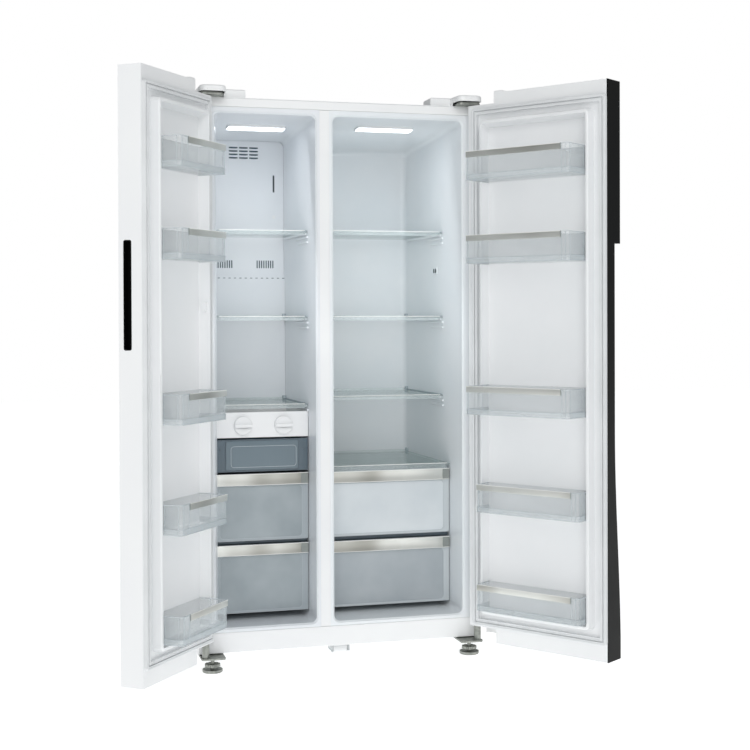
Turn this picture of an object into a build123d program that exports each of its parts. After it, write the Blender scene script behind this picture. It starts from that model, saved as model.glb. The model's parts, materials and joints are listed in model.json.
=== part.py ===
from build123d import *
import math
import os

# Side-by-side fridge-freezer, doors open. Millimetres. Sub-parts are drawn in the cabinet's own axes: X across,
# Y into the cabinet from its front face, Z up from the floor. Doors are drawn shut and then swung open.

# Cabinet
cabinet_width = 910.0
half_width = cabinet_width / 2
cabinet_top = 1760.0
cabinet_back = 640.0
tray_bottom = 47.0
tray_top = 49.5
apron_top = 113.0
rail_bottom = 1731.0
rail_depth = 20.0
sheet = 1.5
side_in = half_width - sheet
liner_wall = 2.0
flange_depth = 2.5
bead = 8.0
mouth_chamfer = 4.5
mouth_step = 0.7
machine_room_front = 425.0
machine_room_top = 330.0

# Openings at the front face, and how each wall leans in per millimetre of depth
freezer_left, freezer_right = -388.0, -82.0
freezer_mouth_left, mouth_depth = -402.0, 60.0
fridge_left, fridge_right = -26.0, 400.5
opening_floor = 126.0
opening_ceiling = 1714.0
freezer_depth = 560.0
fridge_depth = 578.0
freezer_lean = 0.0273
fridge_lean = 0.03
ceiling_lean = 0.066
mullion_cover_left, mullion_cover_right = -69.0, -38.5

# Doors, shut: outer edge at the cabinet's side, inner face door_gap in front of the cabinet
door_gap = 13.0
door_thickness = 75.0
door_skin = 1.0
hinge_edge_radius = 45.0
left_door_width = 400.0
right_door_width = 504.0
door_bottom, door_top = 49.0, 1790.0
cap_seam_low, cap_seam_high = 94.0, 1753.0
hinge_zone = 98.0
hinge_zone_top = 1757.0
post_width, post_top = 38.0, 1792.5
hinge_inset = 17.0
hinge_forward = 19.0
hinge_x = half_width - hinge_inset
hinge_y = -door_gap - hinge_forward
left_open_angle = 127.8
right_open_angle = 125.6
notch_width, notch_top, notch_skin_bottom = 102.0, 94.0, 62.0
pin_radius = 5.0
hinge_cover_height = 28.0
bracket_height = 9.0
arm_underside = 9.5
sleeve_radius = 10.0
running_gap = 0.05

# Door liner: a raised ring (the dyke) around a recess that holds the bins
dyke_hinge_margin, dyke_free_margin = 58.0, 46.0
dyke_height = 30.0
recess_depth = 6.0
ridge_width = 12.0
recess_draft = 3.0
gasket_width = 20.0
gasket_height = 11.5

# Door bins: top edge of each, shared by both doors
bin_tops = (1594.5, 1335.5, 868.0, 558.0, 244.0)
bin_height = 87.0
lowest_bin_height = 82.0
bin_wall = 2.2
bin_reach_left = 88.0
bin_reach_deep = 122.0
bin_reach_shallow = 68.0
bin_margin = 74.0
bin_free_gap = 62.5

# Shelves, drawers and ice maker
freezer_shelf_tops = (1358.5, 1085.0, 805.5)
fridge_shelf_tops = (1365.5, 1084.0, 822.5)
freezer_shelf_front = 105.0
fridge_shelf_front = 182.0
crisper_front = 118.0
crisper_top = 600.0
glass = 4.0
shelf_gap = 1.5
freezer_front = 100.0
cover_front = 440.0
ledge_front = 425.0
ice_panel_low, ice_panel_high = 703.0, 783.0
knob_xs = (-297.0, -167.0)
knob_z = 741.0
bucket_low, bucket_high = 595.0, 697.0

bucket_flange = 6.0
frame_skin = 2.5
frame_gap = 1.5
knob_radius = 29.0
knob_shaft = 10.0
tail_radius = 5.0
tray_half, tray_wall = 44.0, 3.0
tray_pocket = {"half": 18.0, "length": 42.0, "pitch": 46.5, "offset": 21.0, "rows": 5}
drawer_wall = 2.5
drawer_gap = 2.5
freezer_drawer_inset, fridge_drawer_inset = 11.0, 15.0
freezer_drawers = {
    "upper": {"back": 418.0, "low": 376.0, "high": 588.0, "trim": 36.0},
    "lower": {"back": 412.0, "low": 148.0, "high": 363.5, "trim": 33.0},
}
fridge_drawers = {
    "upper": {"back": 545.0, "low": 373.0, "high": 583.5, "trim": 36.0},
    "lower": {"back": 412.0, "low": 145.0, "high": 358.5, "trim": 36.0},
}

# Behind the freezer's back cover
cover_wall = 4.0
ledge_top = 1228.0
fan_x, fan_y, fan_z = -232.0, 505.0, 1560.0
fan_blades = 5
grille = {"columns": 3, "rows": 4, "pitch_x": 35.0, "pitch_z": 11.5, "slot": 31.0, "tall": 5.0, "top": 1664.0}
side_slots = {"left": -99.0, "right": 103.0, "half": 3.0, "low": 1512.0, "high": 1570.0}
vents = {"groups": (-99.0, 43.0), "count": 8, "pitch": 7.8, "slot": 4.0, "low": 1252.0, "high": 1278.0}
lamp_thickness = 6.0
lamp_boxes = ((-328.0, -138.0, 175.0, 237.0), (90.0, 280.0, 128.0, 190.0))

# Machine room
compressor_x, compressor_y = -250.0, 552.0
compressor_radius = 74.0
rear_vents = {"first": -380, "last": 400, "pitch": 40, "slot": 26.0, "tall": 6.0, "heights": (110.0, 170.0, 230.0)}

# Feet and rollers
foot_x, foot_y = 415.0, -17.0
foot_radius = 31.0
roller_radius = 22.0
rollers = {
    "centre_roller": {"x": 12.0, "y": 100.0, "half": 24.0, "lift": 1.0},
    "left_rear_roller": {"x": -400.0, "y": 590.0, "half": 15.0, "lift": 0.0},
    "right_rear_roller": {"x": 400.0, "y": 590.0, "half": 15.0, "lift": 0.0},
}

# The row's origin is on the floor under the middle of the open appliance's outline.
origin_x, origin_y = 25.0, 94.0


def block(x0, x1, y0, y1, z0, z1):
    centre = Pos((x0 + x1) / 2, (y0 + y1) / 2, (z0 + z1) / 2)
    return centre * Box(abs(x1 - x0), abs(y1 - y0), abs(z1 - z0))


def upright(radius, x, y, z0, z1):
    return Pos(x, y, (z0 + z1) / 2) * Cylinder(radius, z1 - z0)


def crosswise(radius, x0, x1, y, z):
    return Pos((x0 + x1) / 2, y, z) * Rot(0, 90, 0) * Cylinder(radius, x1 - x0)


def lengthwise(radius, x, y0, y1, z):
    return Pos(x, (y0 + y1) / 2, z) * Rot(90, 0, 0) * Cylinder(radius, y1 - y0)


def prism(points, z0, z1):
    outline = make_face(Polyline(*[(x, y, z0) for x, y in points], close=True))
    return extrude(outline, z1 - z0, dir=(0, 0, 1))


def tapered(front, y0, back, y1):
    """Solid between an upright rectangle (x0, x1, z0, z1) at depth y0 and another at depth y1."""
    faces = []
    for (x0, x1, z0, z1), y in ((front, y0), (back, y1)):
        corners = ((x0, y, z0), (x1, y, z0), (x1, y, z1), (x0, y, z1))
        faces.append(make_face(Polyline(*corners, close=True)))
    return loft(faces, ruled=True)


def round_edges(shape, axis, radius):
    return fillet(shape.edges().filter_by(axis), radius)


def mirror_pair(shape):
    return [shape, mirror(shape, Plane.YZ)]


def save(name, *shapes):
    """Write one node, moved into the row's frame."""
    moved = [Pos(-origin_x, -origin_y, 0) * s for s in shapes]
    export_step(moved[0] if len(moved) == 1 else Compound(children=moved), f"parts/{name}.step")


# ---- compartments ----

def wall_x(compartment, side, y):
    """X of a compartment's left or right wall at depth y."""
    left, right, lean = {
        "freezer": (freezer_left, freezer_right, freezer_lean),
        "fridge": (fridge_left, fridge_right, fridge_lean),
    }[compartment]
    return left + lean * y if side == "left" else right - lean * y


def hollow(compartment, depth, grow, corner, back_corner):
    """The compartment's hollow, or with grow its liner's outer surface."""
    def rectangle(y):
        left = wall_x(compartment, "left", y) - grow
        right = wall_x(compartment, "right", y) + grow
        return left, right, opening_floor - grow, opening_ceiling - ceiling_lean * y + grow

    far = depth + grow
    body = tapered(rectangle(0), 0, rectangle(far), far)
    room = block(-half_width, half_width, machine_room_front + grow, far + 1, 0, machine_room_top - grow)
    body = body - room
    deep = body.edges().filter_by(lambda e: abs(e.tangent_at(0.5).Y) > 0.9 and e.length > 300)
    body = fillet(deep, corner)
    rear = body.edges().filter_by(lambda e: e.center().Y > far - 0.5 and e.center().Z > machine_room_top + 60)
    body = fillet(rear, back_corner)
    if compartment == "freezer":
        right = (freezer_left + freezer_right) / 2
        front = (freezer_mouth_left - grow, right, opening_floor - grow, opening_ceiling + grow)
        inner_left, _, low, high = rectangle(mouth_depth)
        mouth = tapered(front, 0, (inner_left, right, low, high), mouth_depth)
        lengthways = mouth.edges().filter_by(lambda e: abs(e.tangent_at(0.5).Y) > 0.9)
        long_edges = lengthways.filter_by(lambda e: e.center().X < right - 50)
        body = body + fillet(long_edges, corner)
    return body


def rail(compartment, side, y0, y1, z_top):
    """A shelf rail moulded on a side wall."""
    out = 1.0 if side == "right" else -1.0
    into = -8.0 if side == "right" else 8.0
    points = [
        (wall_x(compartment, side, y0) + out, y0),
        (wall_x(compartment, side, y0) + into, y0),
        (wall_x(compartment, side, y1) + into, y1),
        (wall_x(compartment, side, y1) + out, y1),
    ]
    return prism(points, z_top - 7, z_top)


def liner(compartment, depth, flange, shelf_tops, rail_front, rail_back):
    """Moulded liner with its front flange and shelf rails, and the solid outline that the foam is cut to."""
    outline = hollow(compartment, depth, liner_wall, 20, 22) + flange
    left = freezer_mouth_left if compartment == "freezer" else fridge_left
    right = wall_x(compartment, "right", 0)
    ring = block(
        left - bead, right + bead,
        0, bead, opening_floor - bead, opening_ceiling + bead,
    )
    outline = outline + round_edges(ring, Axis.Y, 24)
    body = outline - hollow(compartment, depth, 0, 18, 20)
    centre = ((left + right) / 2, 0, (opening_floor + opening_ceiling) / 2)
    middle = Plane(centre, x_dir=(1, 0, 0), z_dir=(0, 1, 0))
    wider = mouth_chamfer + mouth_step
    across, tall = right - left + 2 * wider, opening_ceiling - opening_floor + 2 * wider
    flare = extrude(middle * RectangleRounded(across, tall, 18 + wider), mouth_chamfer, taper=45)
    body = body - flare
    for z_top in shelf_tops:
        for side in ("left", "right"):
            body = body + rail(compartment, side, rail_front, rail_back, z_top)
    return body, outline


def freezer_and_fridge():
    rails_under = glass
    freezer_flange = block(-side_in, mullion_cover_left - 0.3, 0, flange_depth, apron_top, rail_bottom)
    fridge_flange = block(mullion_cover_right + 0.3, side_in, 0, flange_depth, apron_top, rail_bottom)
    freezer_rails = [z - rails_under for z in freezer_shelf_tops]
    fridge_rails = [z - rails_under for z in fridge_shelf_tops + (crisper_top,)]
    freezer, freezer_outline = liner("freezer", freezer_depth, freezer_flange, freezer_rails, 125, 415)
    fridge, fridge_outline = liner("fridge", fridge_depth, fridge_flange, fridge_rails, 200, 540)
    save("freezer_liner", freezer)
    save("fridge_liner", fridge)

    foam = block(-side_in, side_in, flange_depth, cabinet_back - sheet, apron_top, cabinet_top - sheet)
    foam = foam - block(-side_in, side_in, 0, rail_depth, rail_bottom, cabinet_top)
    foam = foam - block(-side_in, side_in, machine_room_front + 40, cabinet_back, 0, machine_room_top - 40)
    foam = foam - freezer_outline - fridge_outline
    foam = foam - block(mullion_cover_left, mullion_cover_right, 0, 4, apron_top, rail_bottom)
    save("cabinet_foam", foam)


# ---- cabinet ----

def cabinet():
    wrap = block(-half_width, half_width, 0, cabinet_back, tray_top, cabinet_top)
    wrap = wrap - block(-side_in, side_in, -1, cabinet_back + 1, 0, cabinet_top - sheet)
    save("cabinet_shell", wrap)
    rear = block(-side_in, side_in, cabinet_back - sheet, cabinet_back, machine_room_top - 40, cabinet_top - sheet)
    save("back_panel", rear)

    tray = block(-side_in, side_in, 16, cabinet_back, tray_bottom, tray_top)
    cross = block(-side_in, side_in, 16, 40, tray_top, apron_top)
    tray = tray + (cross - block(-side_in + 2, side_in - 2, 18, 40, tray_top, apron_top - 2))
    for x in (-side_in + 2, side_in - 2):
        tray = tray + block(x - 2, x + 2, 40, cabinet_back, tray_top, apron_top)
    for r in rollers.values():
        for edge in (-r["half"] - 3, r["half"] + 3):
            cheek = block(r["x"] + edge - 3, r["x"] + edge + 3, r["y"] - 24, r["y"] + 24, 12, tray_bottom)
            tray = tray + cheek
        axle_z = roller_radius + r["lift"]
        tray = tray - crosswise(pin_radius, r["x"] - r["half"] - 10, r["x"] + r["half"] + 10, r["y"], axle_z)
    save("base_tray", tray)

    apron = block(-side_in, side_in, 0, 15, tray_top, apron_top - 0.5)
    apron = fillet(apron.edges().filter_by(Axis.X).group_by(Axis.Y)[0], 3)
    apron = apron - block(-side_in + 3, side_in - 3, 3, 16, tray_top - 1, apron_top - 4)
    save("front_apron", apron)
    top = block(-side_in, side_in, 0, rail_depth, rail_bottom + 0.5, cabinet_top - sheet)
    top = fillet(top.edges().filter_by(Axis.X).group_by(Axis.Y)[0], 3)
    save("top_rail", top)
    cover = block(mullion_cover_left, mullion_cover_right, 0, 4, apron_top + 0.5, rail_bottom - 0.5)
    save("mullion_cover", cover)


def machine_room():
    x, y = compressor_x, compressor_y
    shell = upright(compressor_radius, x, y, 75, 230)
    shell = fillet(shell.edges(), 34)
    plate = block(x - 90, x + 90, y - 72, y + 73, 62, 67)
    body = shell + upright(compressor_radius - 8, x, y, 60, 90) + plate
    for leg_x in (x - 75, x + 75):
        for leg_y in (y - 60, y + 60):
            body = body + upright(9, leg_x, leg_y, tray_top, 63)
    body = body + block(x + 65, x + 95, y - 20, y + 20, 110, 165)
    save("compressor", body)

    cover = block(-440, 440, cabinet_back, cabinet_back + 3, 56, machine_room_top - 41)
    for x in range(rear_vents["first"], rear_vents["last"], rear_vents["pitch"]):
        for z in rear_vents["heights"]:
            far = x + rear_vents["slot"]
            cover = cover - block(x, far, cabinet_back - 1, cabinet_back + 4, z, z + rear_vents["tall"])
    save("rear_cover", cover)


def evaporator():
    left, right = wall_x("freezer", "left", cover_front) + 0.5, wall_x("freezer", "right", cover_front) - 0.5
    top = opening_ceiling - ceiling_lean * cover_front - 0.5
    upper = block(left, right, cover_front, cover_front + cover_wall, machine_room_top + 1, top)
    corners = upper.edges().filter_by(Axis.Y).group_by(Axis.Z)[-1]
    upper = fillet(corners, 20)
    lower_left = wall_x("freezer", "left", ledge_front) + 0.5
    lower_right = wall_x("freezer", "right", ledge_front) - 0.5
    lower = block(lower_left, lower_right, ledge_front, cover_front, machine_room_top + 1, ledge_top)
    lower = lower - block(left + 3, right - 3, ledge_front + 3, cover_front + 1, machine_room_top, ledge_top - 6)
    cover = upper + lower
    through = (cover_front - 1, cover_front + cover_wall + 1)
    for column in range(grille["columns"]):
        for row in range(grille["rows"]):
            x = fan_x - 51 + column * grille["pitch_x"]
            z = grille["top"] - row * grille["pitch_z"]
            cover = cover - block(x, x + grille["slot"], *through, z - grille["tall"], z)
    for x in (fan_x + side_slots["left"], fan_x + side_slots["right"]):
        half = side_slots["half"]
        cover = cover - block(x - half, x + half, *through, side_slots["low"], side_slots["high"])
    for group in vents["groups"]:
        for slot in range(vents["count"]):
            x = fan_x + group + slot * vents["pitch"]
            cover = cover - block(x, x + vents["slot"], *through, vents["low"], vents["high"])
    save("evaporator_cover", cover)

    coil = block(-350, -120, 462, 540, 420, 640)
    for z in range(440, 640, 40):
        coil = coil + crosswise(4, -364, -106, 485, z) + crosswise(4, -364, -106, 517, z)
    save("evaporator_coil", coil)

    motor = lengthwise(28, fan_x, fan_y + 12, fan_y + 38, fan_z)
    motor = motor + block(fan_x - 60, fan_x + 60, fan_y + 36, freezer_depth, fan_z - 12, fan_z + 12)
    motor = motor + lengthwise(3, fan_x, fan_y - 14, fan_y + 12, fan_z)
    save("fan_motor", motor)
    fan = lengthwise(16, fan_x, fan_y - 12, fan_y + 10, fan_z)
    for turn in range(fan_blades):
        blade = Rot(0, 0, 28) * block(-14, 14, -1, 1, 10, 55)
        blade = Pos(fan_x, fan_y, fan_z) * Rot(0, turn * 360 / fan_blades, 0) * blade
        fan = fan + blade
    fan = fan - lengthwise(3 + running_gap, fan_x, fan_y - 20, fan_y + 20, fan_z)
    save("fan_blade", fan)


def lamps_and_sensor():
    lamps = []
    half = lamp_thickness / 2
    tilt = math.degrees(math.atan(ceiling_lean))
    for x0, x1, y0, y1 in lamp_boxes:
        lamp = round_edges(block(x0, x1, y0, y1, -half, half), Axis.Z, 12)
        middle = (y0 + y1) / 2
        z = opening_ceiling - ceiling_lean * middle - half - 0.2
        lamp = Pos(0, middle, z) * Rot(-tilt, 0, 0) * Pos(0, -middle, 0) * lamp
        lamps.append(lamp)
    save("lamp_covers", *lamps)
    sensor = block(wall_x("fridge", "right", 230) - 5, wall_x("fridge", "right", 275) - 0.2, 228, 272, 1228, 1252)
    for y in (236, 254):
        sensor = sensor - block(300, wall_x("fridge", "right", 230) - 2, y, y + 9, 1234, 1246)
    save("sensor_cover", sensor)


# ---- shelves ----

def shelf(name, compartment, front, back, top, lip):
    """Glass plate with a moulded front lip and rear strip, tapered like the walls."""
    points = [
        (wall_x(compartment, "left", front) + shelf_gap, front),
        (wall_x(compartment, "right", front) - shelf_gap, front),
        (wall_x(compartment, "right", back) - shelf_gap, back),
        (wall_x(compartment, "left", back) + shelf_gap, back),
    ]
    plate = prism(points, top - glass, top)
    left, right = points[3][0], points[2][0]
    plate = plate + block(left, right, front - 8, front + 8, top - lip, top + 1.5)
    plate = plate + block(left, right, back - 10, back, top - glass, top + 6)
    save(name, plate)


def shelves():
    for index, top in enumerate(freezer_shelf_tops):
        shelf(f"freezer_shelf_{index + 1}", "freezer", freezer_shelf_front, 422, top, 11)
    for index, top in enumerate(fridge_shelf_tops):
        shelf(f"fridge_shelf_{index + 1}", "fridge", fridge_shelf_front, 565, top, 11)
    shelf("crisper_cover", "fridge", crisper_front, 565, crisper_top, 15)


# ---- drawers ----

def drawer(name, compartment, front, inset, size):
    """Open tub with a wider front frame whose top carries the metal trim."""
    x0 = wall_x(compartment, "left", front) + drawer_gap
    x1 = wall_x(compartment, "right", front) - drawer_gap
    low, high, back = size["low"], size["high"], size["back"]
    wall = drawer_wall
    tub = block(x0 + inset, x1 - inset, front + 8, back, low, high - 6)
    tub = tub + block(x0, x1, front + 4, front + 12, low, high)
    tub = tub + block(x0, x1, front, front + 12, high - size["trim"], high)
    tub = tub - block(x0 + inset + wall, x1 - inset - wall, front + 8 + wall, back - wall, low + wall, high + 1)
    save(name, tub)


def drawers():
    for level in ("upper", "lower"):
        drawer(f"freezer_drawer_{level}", "freezer", freezer_front, freezer_drawer_inset, freezer_drawers[level])
        drawer(f"fridge_drawer_{level}", "fridge", crisper_front, fridge_drawer_inset, fridge_drawers[level])


# ---- ice maker ----

def freezer_wide(inset, y0, y1, z0, z1):
    """Block as wide as the freezer less inset at each side, tapered like its walls."""
    points = [
        (wall_x("freezer", "left", y0) + inset, y0),
        (wall_x("freezer", "right", y0) - inset, y0),
        (wall_x("freezer", "right", y1) - inset, y1),
        (wall_x("freezer", "left", y1) + inset, y1),
    ]
    return prism(points, z0, z1)


def ice_tray(x, front, back):
    """Tray of two rows of pockets with its turning knob in front and its pin at the back."""
    knob = lengthwise(knob_radius, x, front - 9, front - 1, knob_z)
    knob = knob + round_edges(block(x - 27, x + 27, front - 19, front - 8, knob_z - 5, knob_z + 5), Axis.Y, 4)
    half, wall = tray_half, tray_wall
    tray = block(x - half, x + half, front + 22, back - 22, knob_z - 17, knob_z + 17)
    tray = tray - block(x - half + wall, x + half - wall, front + 26, back - 26, knob_z + 2, knob_z + 18)
    for column in (-tray_pocket["offset"], tray_pocket["offset"]):
        for row in range(tray_pocket["rows"]):
            y = front + 28 + row * tray_pocket["pitch"]
            x0, x1 = x + column - tray_pocket["half"], x + column + tray_pocket["half"]
            tray = tray - block(x0, x1, y, y + tray_pocket["length"], knob_z - 14, knob_z + 3)
    shaft = lengthwise(knob_shaft, x, front - 2, front + 24, knob_z)
    return knob + shaft + tray + lengthwise(tail_radius, x, back - 24, back, knob_z)


def ice_maker():
    front, back = freezer_front + 4, 405
    frame = freezer_wide(frame_gap, front, back, ice_panel_low, ice_panel_high)
    inside = freezer_wide(frame_gap + frame_skin, front + 4, back - 4, ice_panel_low - 1, ice_panel_high + 1)
    frame = frame - inside
    for x in knob_xs:
        frame = frame - lengthwise(knob_shaft + running_gap, x, front - 1, front + 5, knob_z)
        frame = frame - lengthwise(tail_radius + running_gap, x, back - 5, back + 1, knob_z)
    save("ice_maker_frame", frame)
    for side, x in zip(("left", "right"), knob_xs):
        save(f"{side}_ice_tray", ice_tray(x, front, back))

    x0 = wall_x("freezer", "left", freezer_front) + 3
    x1 = wall_x("freezer", "right", freezer_front) - 3
    bucket = block(x0 + 9, x1 - 9, freezer_front + 4, 412, bucket_low, bucket_high - 4)
    panel = block(x0, x1, freezer_front + 2, freezer_front + 2 + bucket_flange, bucket_low, bucket_high)
    bucket = bucket + panel
    bucket = bucket - block(x0 + 11.5, x1 - 11.5, freezer_front + 10, 409.5, bucket_low + 2.5, bucket_high + 1)
    save("ice_bucket", bucket)


# ---- hinges, feet and rollers ----

def hinges():
    plate = round_edges(block(376, 449, hinge_y - 14, 72, cabinet_top, cabinet_top + 4.5), Axis.Z, 10)
    bracket = block(380, 447, hinge_y - 12, -2, cabinet_top, cabinet_top + bracket_height)
    plate = plate + round_edges(bracket, Axis.Z, 9)
    top = plate + upright(pin_radius, hinge_x, hinge_y, 1738, cabinet_top + 1)
    for x, y in ((392, 25), (430, 25), (411, 60)):
        top = top + upright(6, x, y, cabinet_top + 4, cabinet_top + 9)
    save("top_hinges", *mirror_pair(top))

    plate = round_edges(block(378, 452, -52, 60, tray_bottom - 5, tray_bottom), Axis.Z, 10)
    bottom = plate + upright(11, hinge_x, hinge_y, tray_bottom - 1, notch_top - 3)
    bottom = bottom + upright(pin_radius, hinge_x, hinge_y, notch_top - 4, 120)
    bottom = bottom + block(386, 446, 2, 60, 36, tray_bottom - 4)
    bottom = bottom - upright(6 + running_gap, foot_x, foot_y, 30, tray_bottom + 1)
    save("bottom_hinges", *mirror_pair(bottom))

    outline = [(300, 15), (366, 15), (372, -60), (452, -60), (452, 100), (300, 100)]
    inner = [(303, 18), (369, 18), (375, -57), (449, -57), (449, 97), (303, 97)]
    cover = prism(outline, cabinet_top, cabinet_top + hinge_cover_height)
    nose = cover.edges().filter_by(Axis.Z).group_by(Axis.Y)[0]
    cover = fillet(nose, 22)
    cover = fillet(cover.edges().filter_by(Axis.Z).group_by(Axis.Y)[-1], 12)
    cover = fillet(cover.faces().sort_by(Axis.Z)[-1].edges(), 6)
    hollow_part = prism(inner, cabinet_top - 1, cabinet_top + hinge_cover_height - 2.5)
    cover = cover - fillet(hollow_part.edges().filter_by(Axis.Z).group_by(Axis.Y)[0], 19)
    cover = cover - block(290, 460, -70, -0.5, cabinet_top - 1, cabinet_top + arm_underside)
    save("hinge_covers", *mirror_pair(cover))


def feet_and_rollers():
    for side, x in (("left", -foot_x), ("right", foot_x)):
        disc = upright(foot_radius, x, foot_y, 0, 9)
        disc = chamfer(disc.edges().group_by(Axis.Z)[0], 1.5)
        wheel = upright(24, x, foot_y, 17, 25)
        for notch in range(12):
            angle = math.radians(notch * 30)
            wheel = wheel - upright(4, x + 25 * math.cos(angle), foot_y + 25 * math.sin(angle), 16, 26)
        foot = disc + wheel + upright(6, x, foot_y, 8, tray_bottom - 0.5)
        save(f"{side}_foot", foot)
    for name, r in rollers.items():
        x, y, half, z = r["x"], r["y"], r["half"], roller_radius + r["lift"]
        wheel = crosswise(roller_radius, x - half + 0.6, x + half - 0.6, y, z)
        axle = crosswise(pin_radius - running_gap, x - half - 6, x + half + 6, y, z)
        save(name, chamfer(wheel.edges(), 1.5) + axle)


# ---- doors ----

def door_frame(side):
    """Turn u (from the hinge edge), v (into the door from its inner face) and z into a box in the shut pose."""
    def box(u0, u1, v0, v1, z0, z1):
        y0, y1 = -door_gap - v1, -door_gap - v0
        if side == "left":
            return block(-half_width + u0, -half_width + u1, y0, y1, z0, z1)
        return block(half_width - u1, half_width - u0, y0, y1, z0, z1)

    return box


def swing(side, shape):
    """Swing a shut door's piece open about its hinge axis."""
    turn, x = (-left_open_angle, -hinge_x) if side == "left" else (right_open_angle, hinge_x)
    return shape.rotate(Axis((x, hinge_y, 0), (0, 0, 1)), turn)


def rounded_hinge_edge(side, piece, radius):
    """Round a door piece's upright front edge on the hinge side, so the open door clears the cabinet's corner."""
    front = piece.edges().filter_by(Axis.Z).group_by(Axis.Y)[0].sort_by(Axis.X)
    return fillet(front[0] if side == "left" else front[-1], radius)


def door_shell(side, width, cut):
    box = door_frame(side)
    body = rounded_hinge_edge(side, box(0, width, 2, door_thickness, door_bottom, door_top), hinge_edge_radius)
    inside = box(door_skin, width - door_skin, 1, door_thickness - door_skin, door_bottom - 1, door_top + 1)
    body = body - rounded_hinge_edge(side, inside, hinge_edge_radius - door_skin)
    body = body - box(-1, hinge_zone, 0, door_thickness + 1, hinge_zone_top, door_top + 5)
    body = body - box(-1, notch_width, 0, door_thickness - 8, door_bottom - 1, notch_top)
    body = body - box(-1, notch_width, 0, door_thickness + 1, door_bottom - 1, notch_skin_bottom)
    return body - cut


def door_caps(side, width, cut):
    box = door_frame(side)
    x = -hinge_x if side == "left" else hinge_x
    top = rounded_hinge_edge(side, box(1, width - 1, 0, door_thickness - 1, cap_seam_high, door_top), 44)
    top = top + box(hinge_zone, hinge_zone + post_width, 0, door_thickness - 1, door_top - 1, post_top)
    top = top - box(0, hinge_zone, -1, door_thickness, hinge_zone_top, post_top + 1)
    top = top - box(4, width - 4, 4, door_thickness - 4, cap_seam_high - 1, cap_seam_high + 1)
    hole = pin_radius + running_gap
    top = top + upright(sleeve_radius, x, hinge_y, 1728, cap_seam_high + 1) - upright(hole, x, hinge_y, 1735, 1760)
    low = box(notch_width, width - 1, 0, door_thickness - 1, door_bottom, cap_seam_low)
    low = low - box(notch_width + 3, width - 4, 4, door_thickness - 4, door_bottom + 30, cap_seam_low + 1)
    web = box(1, notch_width + 8, 9, door_thickness - 1, cap_seam_low, cap_seam_low + 4)
    low = low + rounded_hinge_edge(side, web, 44)
    low = low + upright(sleeve_radius, x, hinge_y, notch_top, 128) - upright(hole, x, hinge_y, notch_top - 1, 122)
    return top - cut, low - cut


def door_liner(side, width):
    box = door_frame(side)
    near, far = dyke_hinge_margin, width - dyke_free_margin

    def ring(u0, u1, z0, z1, v):
        y = -door_gap - v
        if side == "left":
            return (-half_width + u0, -half_width + u1, z0, z1), y
        return (half_width - u1, half_width - u0, z0, z1), y

    plate = box(1, width - 1, 0, 8, cap_seam_low, cap_seam_high)
    low, high = cap_seam_low + dyke_free_margin, cap_seam_high - dyke_free_margin
    foot, foot_y_here = ring(near, far, low, high, 1)
    crest, crest_y = ring(near + 4, far - 4, low + 4, high - 4, -dyke_height)
    dyke = tapered(foot, foot_y_here, crest, crest_y)
    dyke = fillet(dyke.edges().filter_by(lambda e: e.length < 60), 16)
    dyke = fillet(dyke.faces().sort_by(Axis.Y)[-1].edges(), 5)
    u0, u1 = near + ridge_width, far - ridge_width
    z0, z1 = low + 13, high - 15
    mouth, mouth_y = ring(u0, u1, z0, z1, -dyke_height - 1)
    floor, floor_y = ring(u0 + recess_draft, u1 - recess_draft, z0 + 3, z1 - 10, recess_depth)
    recess = tapered(floor, floor_y, mouth, mouth_y)
    recess = fillet(recess.edges().filter_by(lambda e: e.length < 60), 6)
    body = plate + dyke - recess
    if side == "left":
        for u in (u0, u1 - 10):
            lug = box(u, u + 10, -22, -8, 1100, 1130)
            body = body + fillet(lug.edges().filter_by(Axis.X), 5)
    return body


def door_gasket(side, width):
    box = door_frame(side)
    outer = box(20, width - 2, -gasket_height, 0, cap_seam_low + 8, cap_seam_high - 8)
    outer = round_edges(outer, Axis.Y, 8)
    margin = gasket_width
    inner = box(20 + margin, width - 2 - margin, -gasket_height - 1, 1,
                cap_seam_low + 8 + margin, cap_seam_high - 8 - margin)
    ring = outer - round_edges(inner, Axis.Y, 3)
    groove_out, groove_in = 8.0, 12.0
    cut = box(20 + groove_out, width - 2 - groove_out, -gasket_height - 1, -6,
              cap_seam_low + 8 + groove_out, cap_seam_high - 8 - groove_out)
    keep = box(20 + groove_in, width - 2 - groove_in, -gasket_height - 2, 0,
               cap_seam_low + 8 + groove_in, cap_seam_high - 8 - groove_in)
    return ring - (cut - keep)


def bin_box(side, u0, u1, reach, top, height):
    box = door_frame(side)
    outer = box(u0, u1, -reach, recess_depth, top - height, top)
    front = outer.edges().filter_by(Axis.Z).group_by(Axis.Y)[-1]
    outer = fillet(front, 9)
    wall = bin_wall
    inner = box(u0 + wall, u1 - wall, -reach + wall, recess_depth - wall, top - height + wall, top + 1)
    front = inner.edges().filter_by(Axis.Z).group_by(Axis.Y)[-1]
    return outer - fillet(front, 7)


def grip_pocket(grow):
    """The upright grip in the freezer door's free edge."""
    box = door_frame("left")
    body = box(left_door_width - 20 - grow, left_door_width + 0.6, 33 - grow, 59 + grow, 992 - grow, 1300 + grow)
    return fillet(body.edges().filter_by(Axis.X), 6 + grow)


def rebate(grow):
    """The finger rebate in the fridge door's free front edge: an even slot that runs out towards the bottom."""
    deep = -door_gap - 42.0 + grow
    face = -door_gap - door_thickness - 1
    top, bend, low = 1302.0 + grow, 737.0, door_bottom - 2
    x = half_width - right_door_width - 1
    curve = Spline((x, deep, bend), (x, face, low), tangents=[(0, 0, -1), (0, 0, -1)])
    sides = Polyline((x, face, low), (x, face, top), (x, deep, top), (x, deep, bend))
    outline = make_face(curve + sides)
    return extrude(outline, 40 + grow, dir=(1, 0, 0))


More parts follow.
